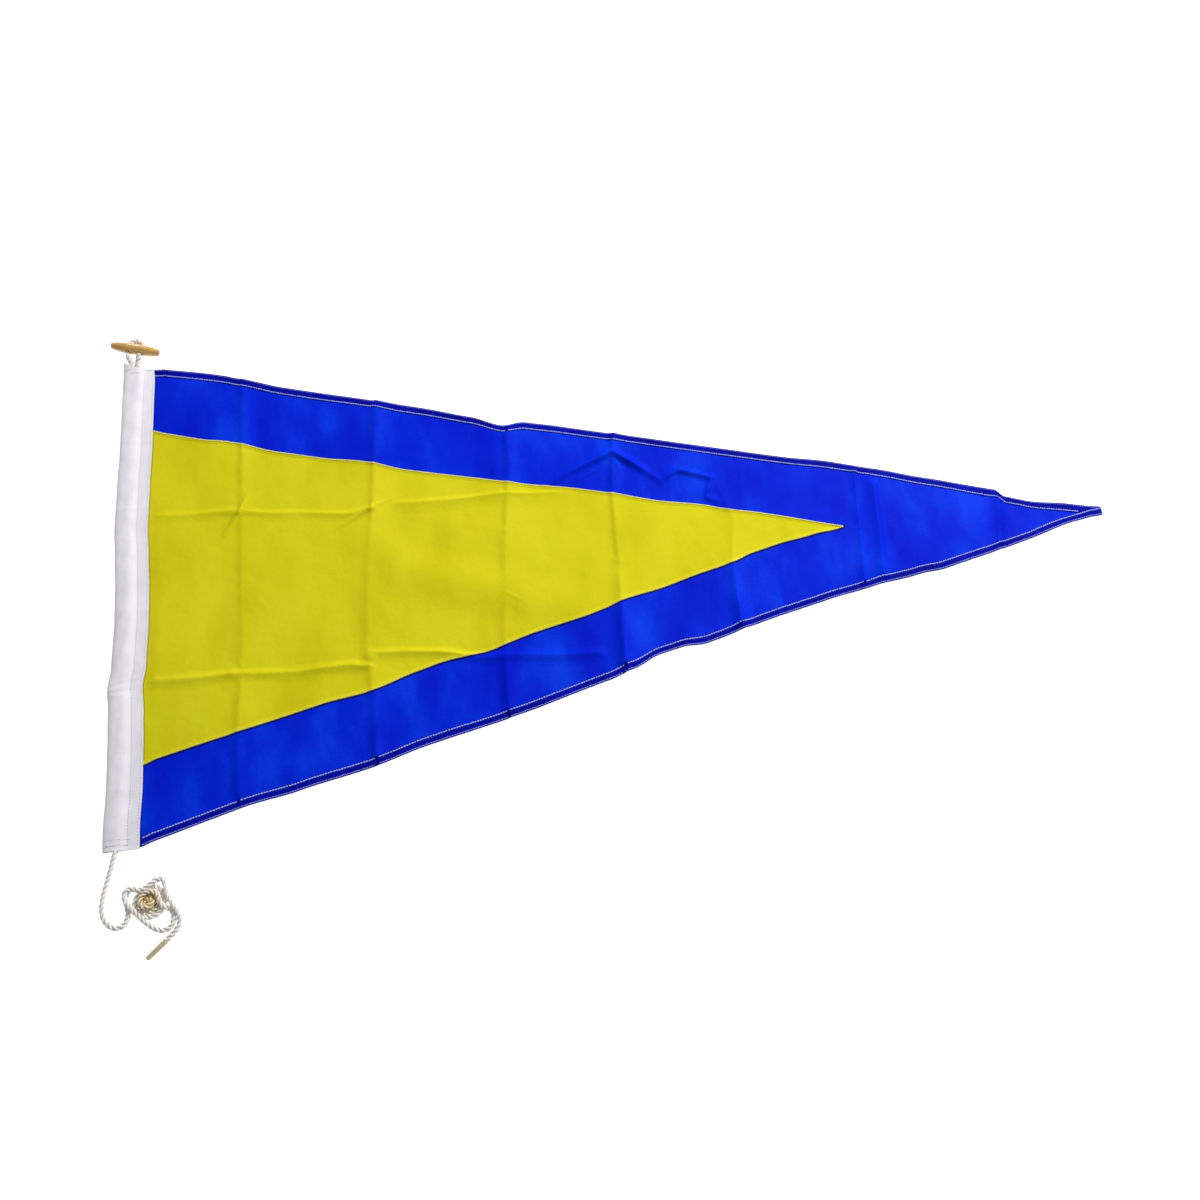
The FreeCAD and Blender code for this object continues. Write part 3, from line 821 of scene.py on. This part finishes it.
def whipped_end(line):
    """Twine wound tightly round the rope's end, and the cut strands that show beyond it."""
    start = line[-1]
    outward = unit(line[-1] - line[-4])
    side = unit(np.cross(outward, (0.0, 0.0, 1.0)))
    up = np.cross(side, outward)
    turns, per_turn, around = 34, 5, 20
    angles = 2 * math.pi * np.arange(around) / around
    rings = []
    for t in np.linspace(0.0, 1.0, turns * per_turn + 1):
        taper = 1.0 - 0.14 * t - 0.10 * ease((0.04 - t) / 0.04) - 0.12 * ease((t - 0.97) / 0.03)
        ridge = 0.055 * np.cos(2 * math.pi * turns * t - angles)
        centre = start + outward * (t * WHIPPING_LENGTH - 0.4 * MM)
        rings.append(ring_points(centre, side, up, WHIPPING_RADIUS * (taper - 0.05 + ridge), around))
    last = start + outward * (WHIPPING_LENGTH - 0.2 * MM)
    for share, push in ((0.72, 0.35), (0.4, 0.5), (0.1, 0.45)):
        radius = WHIPPING_RADIUS * 0.72 * share * (1.0 + 0.08 * np.cos(3 * angles))
        rings.append(ring_points(last + outward * push * MM, side, up, radius, around))
    return tube_object("tail_end_whipping", np.array(rings))


def on_toggle(x, y):
    """Point of the toggle's own frame, x along the barrel, in the row frame."""
    return TOGGLE_CENTRE + Matrix.Rotation(TOGGLE_TURN, 3, "Z") @ Vector((x, y, 0.0))


def becket_line():
    """The rope from the sleeve up through one hole of the toggle and back down the other."""
    up_x, up_z = ROPE_PLACE
    down_x, down_z = RETURN_PLACE
    hole = TOGGLE_HOLES
    points = [(up_x, 0.264, up_z), (up_x, 0.282, up_z), (up_x, 0.298, up_z),
              (up_x - 0.0004, 0.306, up_z + 0.0002), (up_x - 0.0022, 0.3125, up_z + 0.0012)]
    points += [tuple(on_toggle(x, y)) for x, y in (
        (-hole, -0.0095), (-hole, -0.003), (-hole, 0.0050), (-0.0062, 0.0100),
        (-0.0022, 0.0121), (0.0030, 0.0119), (0.0068, 0.0095), (hole, 0.0045), (hole, -0.003),
        (hole, -0.0095))]
    points += [(down_x + 0.0005, 0.3115, down_z + 0.001), (down_x, 0.305, down_z),
               (down_x, 0.297, down_z), (down_x, 0.282, down_z), (down_x, 0.266, down_z)]
    return smooth_line("becket_line", points, 0.6 * MM)


# ---- toggle ----
# Rounding of the barrel's edge, from the middle of its end: (in from the end, less radius).
TOGGLE_EDGE = ((0.0, 4.0), (0.0, 1.2), (0.12, 0.85), (0.4, 0.4), (0.8, 0.1))


def turned_toggle():
    """Turned barrel with flat ends and two holes across it, in its own frame."""
    half = TOGGLE_LENGTH / 2
    belly = TOGGLE_RADIUS - TOGGLE_END_RADIUS
    around = 72
    end = [(-half + inwards * MM, TOGGLE_END_RADIUS - less * MM) for inwards, less in TOGGLE_EDGE]
    profile = list(end)
    for t in np.linspace(-1.0, 1.0, 61)[1:-1]:
        profile.append((t * (half - 0.8 * MM), TOGGLE_RADIUS - belly * abs(t) ** 2.2))
    profile += [(-x, r) for x, r in reversed(end)]
    x_axis, y_axis, z_axis = np.eye(3)
    rings = [ring_points(x_axis * x, y_axis, z_axis, r, around) for x, r in profile]
    barrel = tube_object("toggle_barrel", np.array(rings))
    for x in (-TOGGLE_HOLES, TOGGLE_HOLES):
        reach = TOGGLE_RADIUS + 0.002
        mouth = TOGGLE_RADIUS * 0.985
        drill = [(-reach, HOLE_RADIUS + 0.0022), (-mouth, HOLE_RADIUS + 0.0006),
                 (-mouth + 0.0007, HOLE_RADIUS), (mouth - 0.0007, HOLE_RADIUS),
                 (mouth, HOLE_RADIUS + 0.0006), (reach, HOLE_RADIUS + 0.0022)]
        rings = [ring_points((x, y, 0.0), z_axis, x_axis, r, 40) for y, r in drill]
        cutter = tube_object("drill", np.array(rings))
        cut = barrel.modifiers.new("hole", "BOOLEAN")
        cut.object = cutter
        cut.operation = "DIFFERENCE"
        bpy.context.view_layer.objects.active = barrel
        bpy.ops.object.modifier_apply(modifier=cut.name)
        bpy.data.objects.remove(cutter)
    barrel.matrix_world = Matrix.Translation(TOGGLE_CENTRE) @ Matrix.Rotation(
        TOGGLE_TURN, 4, "Z")
    return barrel


# ---- materials ----
def srgb(red, green, blue):
    """Linear colour from a screen colour of 0 to 255."""
    def linear(value):
        value = value / 255
        return value / 12.92 if value <= 0.04045 else ((value + 0.055) / 1.055) ** 2.4
    return (linear(red), linear(green), linear(blue), 1.0)


class Nodes:
    """The nodes of one material, wired with short calls."""

    def __init__(self, name):
        self.material = bpy.data.materials.new(name)
        self.material.use_nodes = True
        self.tree = self.material.node_tree
        self.shader = self.tree.nodes["Principled BSDF"]

    def add(self, kind, inputs=None, **settings):
        node = self.tree.nodes.new(kind)
        for key, value in settings.items():
            setattr(node, key, value)
        for key, value in (inputs or {}).items():
            self.set(node, key, value)
        return node

    def set(self, node, key, value):
        if isinstance(value, bpy.types.NodeSocket):
            self.tree.links.new(value, node.inputs[key])
        else:
            node.inputs[key].default_value = value

    def shade(self, **inputs):
        """Sets or wires the shader's sockets, named in small letters."""
        for key, value in inputs.items():
            self.set(self.shader, key.replace("_", " ").title().replace("Ior", "IOR"), value)

    def coordinates(self, scale=(1.0, 1.0, 1.0)):
        place = self.add("ShaderNodeTexCoord").outputs["Object"]
        return self.add("ShaderNodeMapping", {"Vector": place, "Scale": scale}).outputs["Vector"]

    def noise(self, scale, detail, roughness, place):
        inputs = {"Scale": scale, "Detail": detail, "Roughness": roughness, "Vector": place}
        return self.add("ShaderNodeTexNoise", inputs).outputs["Fac"]

    def wave(self, scale, direction, place, distortion, detail):
        inputs = {"Scale": scale, "Vector": place, "Distortion": distortion, "Detail": detail}
        return self.add("ShaderNodeTexWave", inputs, bands_direction=direction).outputs["Fac"]

    def mix(self, *shares):
        """Sum of values, each given with its share."""
        total = 0.0
        for value, share in shares:
            total = self.maths("ADD", total, self.maths("MULTIPLY", value, share))
        return total

    def maths(self, operation, a, b=0.0):
        node = self.add("ShaderNodeMath", operation=operation)
        self.set(node, 0, a)
        self.set(node, 1, b)
        return node.outputs["Value"]

    def ramp(self, factor, stops):
        node = self.add("ShaderNodeValToRGB", {"Fac": factor})
        elements = node.color_ramp.elements
        while len(elements) < len(stops):
            elements.new(0.5)
        for element, (position, colour) in zip(elements, stops):
            element.position = position
            element.color = colour
        return node.outputs["Color"]

    def blend(self, factor, first, second):
        inputs = {"Fac": factor, "Color1": first, "Color2": second}
        return self.add("ShaderNodeMixRGB", inputs).outputs["Color"]

    def span(self, value, low, high):
        """0 where value is at low or less and 1 where it is at high, eased between."""
        inputs = {"Value": value, "From Min": low, "From Max": high}
        node = self.add("ShaderNodeMapRange", inputs, interpolation_type="SMOOTHSTEP")
        return node.outputs["Result"]

    def bump(self, height, strength, distance, under=None):
        inputs = {"Height": height, "Strength": strength, "Distance": distance}
        if under is not None:
            inputs["Normal"] = under
        return self.add("ShaderNodeBump", inputs).outputs["Normal"]


def weave(nodes, threads_per_metre):
    """Height of a plain weave: warp and weft crossing square."""
    place = nodes.coordinates()
    per_band = threads_per_metre / 20.0 * math.pi      # a band texture's scale for that count
    warp, weft = (nodes.wave(per_band, way, place, 0.4, 1.0) for way in "XY")
    return nodes.maths("MAXIMUM", warp, weft)


def bunting(name, shaded, dark, middle, light, roughness, sheen=0.0):
    """Light woven flag cloth, mottled partly in its own tone and partly with painted sheen, and with
    painted shade beside the heading and along the seams.
    """
    nodes = Nodes(name)
    place = nodes.coordinates()
    # The lighter patches of this mottling are partly painted sheen, glints off small undulations,
    # and partly the cloth's own uneven tone.
    cloudy = nodes.noise(1.0, 3.0, 0.5, nodes.coordinates((18.0, 8.0, 8.0)))
    flecks = nodes.noise(420.0, 2.0, 0.6, place)
    mixed = nodes.mix((cloudy, 0.85), (flecks, 0.15))
    colour = nodes.ramp(mixed, [(0.34, dark), (0.5, middle), (0.66, light)])
    # Painted shade beside the heading and the seams, from the marks on the sheets.
    painted_shade = nodes.add("ShaderNodeAttribute", attribute_name="painted_shade").outputs["Fac"]
    colour = nodes.blend(painted_shade, colour, shaded)
    threads = weave(nodes, 2300.0)
    rumple = nodes.noise(75.0, 4.0, 0.6, place)
    soft = nodes.bump(rumple, 0.35, 0.0016)
    nodes.shade(base_color=colour, roughness=roughness, specular_ior_level=0.03,
                normal=nodes.bump(threads, 0.25, 0.00008, soft),
                sheen_weight=sheen, sheen_roughness=0.45, sheen_tint=(1.0, 1.0, 0.7, 1.0))
    return nodes.material


def canvas_material():
    nodes = Nodes("canvas")
    place = nodes.coordinates()
    cloudy = nodes.noise(26.0, 4.0, 0.6, place)
    colour = nodes.ramp(cloudy, [(0.3, srgb(230, 227, 236)), (0.52, srgb(238, 235, 243)),
                                 (0.75, srgb(244, 242, 248))])
    threads = weave(nodes, 1500.0)
    rumple = nodes.noise(190.0, 3.0, 0.6, place)
    soft = nodes.bump(rumple, 0.3, 0.0006)
    nodes.shade(base_color=colour, roughness=0.86, specular_ior_level=0.2, sheen_weight=0.15,
                normal=nodes.bump(threads, 0.4, 0.00018, soft))
    return nodes.material


def rope_material():
    """Laid cotton rope: whitish strands, painted shade in tan in the grooves between them, and
    darker, yellower painted shade inside the coil.
    """
    nodes = Nodes("rope")
    place = nodes.coordinates()
    fibres = nodes.noise(1500.0, 3.0, 0.7, place)
    cloudy = nodes.noise(60.0, 2.0, 0.5, place)
    # Painted shade: the strands' inner sides, which face into the grooves, are painted tan.
    outward = nodes.add("ShaderNodeAttribute", attribute_name="outward").outputs["Fac"]
    mixed = nodes.mix((outward, 0.5), (cloudy, 0.3), (fibres, 0.2))
    cotton = nodes.ramp(mixed, [(0.26, srgb(186, 167, 138)), (0.42, srgb(221, 212, 198)),
                                (0.56, srgb(239, 234, 228)), (0.74, srgb(250, 248, 246))])
    # Painted shade for the inside of the coil.
    coil_shade = nodes.ramp(mixed, [(0.30, srgb(124, 94, 46)), (0.5, srgb(200, 172, 112)),
                              (0.72, srgb(238, 220, 170))])
    away = nodes.add("ShaderNodeVectorMath", {0: place, 1: COIL_CENTRE}, operation="DISTANCE")
    inside = nodes.span(away.outputs["Value"], COIL_TINT_REACH, COIL_TINT_CORE)
    colour = nodes.blend(inside, cotton, coil_shade)
    nodes.shade(base_color=colour, roughness=0.82, specular_ior_level=0.2, sheen_weight=0.1,
                normal=nodes.bump(fibres, 0.5, 0.0003))
    return nodes.material


def wood_material():
    """Varnished turned wood, with its grain along the barrel."""
    nodes = Nodes("turned_wood")
    place = nodes.coordinates((22.0, 330.0, 330.0))
    grain = nodes.noise(1.0, 5.0, 0.65, place)
    cloudy = nodes.noise(70.0, 2.0, 0.5, nodes.coordinates())
    pores = nodes.noise(1.0, 2.0, 0.7, nodes.coordinates((160.0, 2600.0, 2600.0)))
    mixed = nodes.mix((grain, 0.55), (cloudy, 0.25), (pores, 0.2))
    colour = nodes.ramp(mixed, [(0.32, srgb(164, 116, 50)), (0.46, srgb(205, 158, 80)),
                                (0.58, srgb(226, 184, 106)), (0.72, srgb(242, 210, 142))])
    # The barrel's ends are darker as end grain and as painted shade, and the holes' rims get painted
    # shade where the rope goes in.
    parts = nodes.add("ShaderNodeSeparateXYZ", {0: nodes.coordinates()})
    along = nodes.maths("ABSOLUTE", parts.outputs["X"])
    ends = nodes.span(along, TOGGLE_LENGTH / 2 - 1.6 * MM, TOGGLE_LENGTH / 2 - 0.3 * MM)
    beside = nodes.maths("SUBTRACT", along, TOGGLE_HOLES)
    squares = nodes.mix((beside, beside), (parts.outputs["Z"], parts.outputs["Z"]))
    reach = nodes.maths("SQRT", squares)
    rims = nodes.span(reach, HOLE_RADIUS + 1.5 * MM, HOLE_RADIUS + 0.3 * MM)
    end_grain_and_rim_shade = nodes.maths("MULTIPLY", nodes.maths("MAXIMUM", ends, rims), 0.75)
    colour = nodes.blend(end_grain_and_rim_shade, colour, srgb(96, 62, 22))
    nodes.shade(base_color=colour, normal=nodes.bump(grain, 0.15, 0.0002),
                roughness=nodes.maths("ADD", nodes.maths("MULTIPLY", grain, 0.2), 0.2),
                coat_weight=0.8, coat_roughness=0.16)
    return nodes.material


def thread_material(name, dark, light, shine=0.4):
    nodes = Nodes(name)
    twist = nodes.noise(2600.0, 2.0, 0.6, nodes.coordinates())
    colour = nodes.ramp(twist, [(0.35, dark), (0.65, light)])
    nodes.shade(base_color=colour, roughness=0.55, sheen_weight=shine,
                normal=nodes.bump(twist, 0.3, 0.0001))
    return nodes.material


def floor_material():
    nodes = Nodes("floor")
    speckle = nodes.noise(30.0, 2.0, 0.5, nodes.coordinates())
    colour = nodes.ramp(speckle, [(0.3, srgb(196, 196, 196)), (0.7, srgb(200, 200, 200))])
    nodes.shade(base_color=colour, roughness=0.95, specular_ior_level=0.0,
                emission_color=(1.0, 1.0, 1.0, 1.0), emission_strength=0.9)
    return nodes.material


# Each cloth's first colour is its painted shade.
YELLOW = bunting("yellow_bunting", srgb(84, 80, 14), srgb(209, 200, 21), srgb(218, 209, 26),
                 srgb(224, 215, 34), 0.7, 0.02)
BLUE = bunting("blue_bunting", srgb(2, 6, 76), srgb(1, 24, 202), srgb(2, 38, 218),
               srgb(7, 60, 236), 0.6)
BLUE_HEM = bunting("blue_hem", srgb(2, 4, 84), srgb(1, 4, 134), srgb(2, 9, 154),
                   srgb(4, 17, 174), 0.65)
CANVAS_WHITE = canvas_material()
ROPE_CREAM = rope_material()
WOOD = wood_material()
# White thread over blue cloth reads light blue.
WHITE_THREAD = thread_material("white_thread", srgb(140, 158, 255), srgb(180, 196, 255), 0.0)
# The heading's thread is grey, which also paints the small shadows between its stitches: painted
# shade.
GREY_THREAD = thread_material("heading_thread", srgb(170, 165, 172), srgb(204, 200, 208), 0.1)
YELLOW_THREAD = thread_material("yellow_thread", srgb(246, 242, 140), srgb(255, 252, 196))
TWINE = thread_material("whipping_twine", srgb(190, 170, 132), srgb(224, 210, 178), 0.1)


# ---- the object ----
def dress(piece, material, slot, *nodes, sharp=None):
    """Gives a piece its material, and hides the CAD nodes that it stands for. The slot is not used.

    Edges where its faces turn by more than the sharp angle, in degrees, look sharp."""
    piece.data.materials.append(material)
    if sharp is not None:
        piece.data.set_sharp_from_angle(angle=math.radians(sharp))
    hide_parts(*nodes)


def add_tail():
    """The free rope tail, its coil and its bound end."""
    points = TAIL_LEAD + coil_turns() + TAIL_LOOP + TAIL_END
    line = smooth_line("tail_line", points, 0.6 * MM)
    line[:, 2] += (SOFT_LAY - 1.0) * ROPE / 2
    rope = laid_rope("tail_rope", line, swell=SOFT_LAY)
    whipping = whipped_end(line)
    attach(rope, "heading")
    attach(whipping, "heading")
    dress(rope, ROPE_CREAM, "rope",
          "tail_rope_lead", "tail_rope_coil", "tail_rope_loop", "tail_rope_end")
    dress(whipping, TWINE, "whipping_twine", "tail_whipping")
    smooth_line("tail_path", points, 2.0 * MM).tolist()


BECKET_SPLIT = 0.3085        # y where the strands end and the bight starts
BECKET_FREE = (0.3000, 0.3225)      # the strands lie loose between the sleeve and the toggle
BIGHT_FREE = 0.334           # the bight is loose above the toggle


def add_becket():
    """Rope in the sleeve, and the becket that holds the toggle."""
    line = becket_line()
    y = line[:, 1]
    above = np.flatnonzero(y > BECKET_SPLIT)
    first, last = above[0], above[-1]
    loose = ease((y - BECKET_FREE[0]) / 0.005) * ease((BECKET_FREE[1] - y) / 0.003)
    swell = 1.0 + 0.55 * loose + 0.35 * ease((y - BIGHT_FREE) / 0.004)
    up = laid_rope("becket_up", line, 0, first + 1, swell)
    down = laid_rope("becket_down", line, last, None, swell)
    lower = join("becket_lower_strands", [up, down])
    upper = laid_rope("becket_bight_rope", line, first, last + 1, swell)
    sleeve_points = [(ROPE_PLACE[0], -head_y, ROPE_PLACE[1])]
    for at in np.arange(-0.27, 0.25, 0.04):
        sleeve_points.append((ROPE_PLACE[0] + float(heading_wander(np.array(at))), at,
                              ROPE_PLACE[1]))
    sleeve_points.append((ROPE_PLACE[0], 0.2645, ROPE_PLACE[1]))
    sleeve = laid_rope("sleeve_rope", smooth_line("sleeve_line", sleeve_points, 1.2 * MM))
    dress(sleeve, ROPE_CREAM, "rope", "hoist_rope")
    dress(lower, ROPE_CREAM, "rope", "becket_return_end", "becket_strands")
    dress(upper, ROPE_CREAM, "rope", "becket_bight")
    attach(sleeve, "heading")
    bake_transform(lower)
    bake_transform(upper)


def add_toggle():
    barrel = turned_toggle()
    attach(barrel, "toggle")
    dress(barrel, WOOD, "turned_wood", "toggle", sharp=40)


def add_heading():
    band, grid = heading_band()
    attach(band, "heading")
    dress(band, CANVAS_WHITE, "canvas", "heading_band", sharp=60)
    left = -16.5 * MM
    head_bar = cross_row(head_y - 3.0 * MM, left, 16.0 * MM, 2.5 * MM, 2.0 * MM, 0.3 * MM, 43)
    head_zigzag = cross_row(head_y - 8.0 * MM, -9.0 * MM, 2.0 * MM, 1.5 * MM, 1.2 * MM, 3.0 * MM, 44)
    foot_bar = cross_row(-head_y + 11.5 * MM, left, 6.5 * MM, 2.7 * MM, 2.1 * MM, 0.2 * MM, 45)
    foot_zigzag = cross_row(-head_y + 5.5 * MM, left + 0.5 * MM, 6.0 * MM, 1.5 * MM, 1.2 * MM,
                            2.8 * MM, 46)
    for name, node, segments in (
            ("sleeve_stitches", "sleeve_thread", long_row(6.4 * MM, 41)),
            ("hoist_edge_stitches", "hoist_edge_thread", long_row(half_heading - 2.2 * MM, 42)),
            ("head_bar_stitches", "head_bar_tack", head_bar + head_zigzag),
            ("foot_bar_stitches", "foot_bar_tack", foot_bar + foot_zigzag)):
        piece = canvas_stitches(name, grid, segments)
        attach(piece, "heading")
        dress(piece, GREY_THREAD, "white_thread", node)


def add_fly():
    """The cloth, its hems, seams and stitching, which all bend beside the heading."""
    def place(piece, material, slot, *nodes):
        dress(piece, material, slot, *nodes)
        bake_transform(piece)
        return piece

    yellow = place(yellow_sheet(), YELLOW, "yellow_bunting", "yellow_panel", "yellow_hoist_tab")
    blue = place(blue_sheet(), BLUE, "blue_bunting", "blue_border", "blue_hoist_tabs")
    hems, seams = [], []
    for side, word in ((1, "upper"), (-1, "lower")):
        hems.append(place(hem(word + "_hem_fold", side, 50 + side), BLUE_HEM, "blue_hem",
                          word + "_hem"))
        hems.append(place(hem_stitches(word + "_hem_stitches", side, 54 + 3 * side),
                          WHITE_THREAD, "white_thread", word + "_hem_thread"))
        seams.append(place(seam(word + "_seam_lap", side, 60 + side), YELLOW, "yellow_bunting",
                           word + "_seam"))
        seams.append(place(seam_stitches(word + "_seam_stitches", side, 64 + side),
                           YELLOW_THREAD, "yellow_thread", word + "_seam_thread"))


# ---- floor and light ----
def add_floor():
    size = 6.0
    points = [(x, y, -0.0002) for y in (-size, size) for x in (-size, size)]
    floor = mesh_object("floor", points, [(0, 1, 3, 2)])
    floor.data.materials.append(floor_material())


def area_light(name, place, target, size, power):
    data = bpy.data.lights.new(name, "AREA")
    data.shape = "DISK"
    data.size = size
    data.energy = power
    light = bpy.data.objects.new(name, data)
    direction = Vector(target) - Vector(place)
    light.matrix_world = Matrix.Translation(place) @ direction.to_track_quat(
        "-Z", "Y").to_matrix().to_4x4()
    bpy.context.collection.objects.link(light)


def add_light():
    scene = bpy.context.scene
    world = bpy.data.worlds.new("studio")
    world.use_nodes = True
    background = world.node_tree.nodes["Background"]
    background.inputs["Color"].default_value = (1.0, 1.0, 1.0, 1.0)
    background.inputs["Strength"].default_value = 0.24
    scene.world = world
    scene.view_settings.view_transform = "Standard"
    area_light("far_right_softbox", (2.35, 1.75, 2.0), (0.5, 0.0, 0.0), 1.1, 98.0)
    area_light("rear_lamp", (-0.35, 2.1, 0.9), (0.0, 0.33, 0.0), 0.4, 6.0)
    area_light("overhead_softbox", (0.9, 0.3, 2.4), (0.6, 0.0, 0.0), 1.6, 9.0)


place_camera()
add_tail()
add_becket()
add_toggle()
add_heading()
add_fly()
add_floor()
add_light()
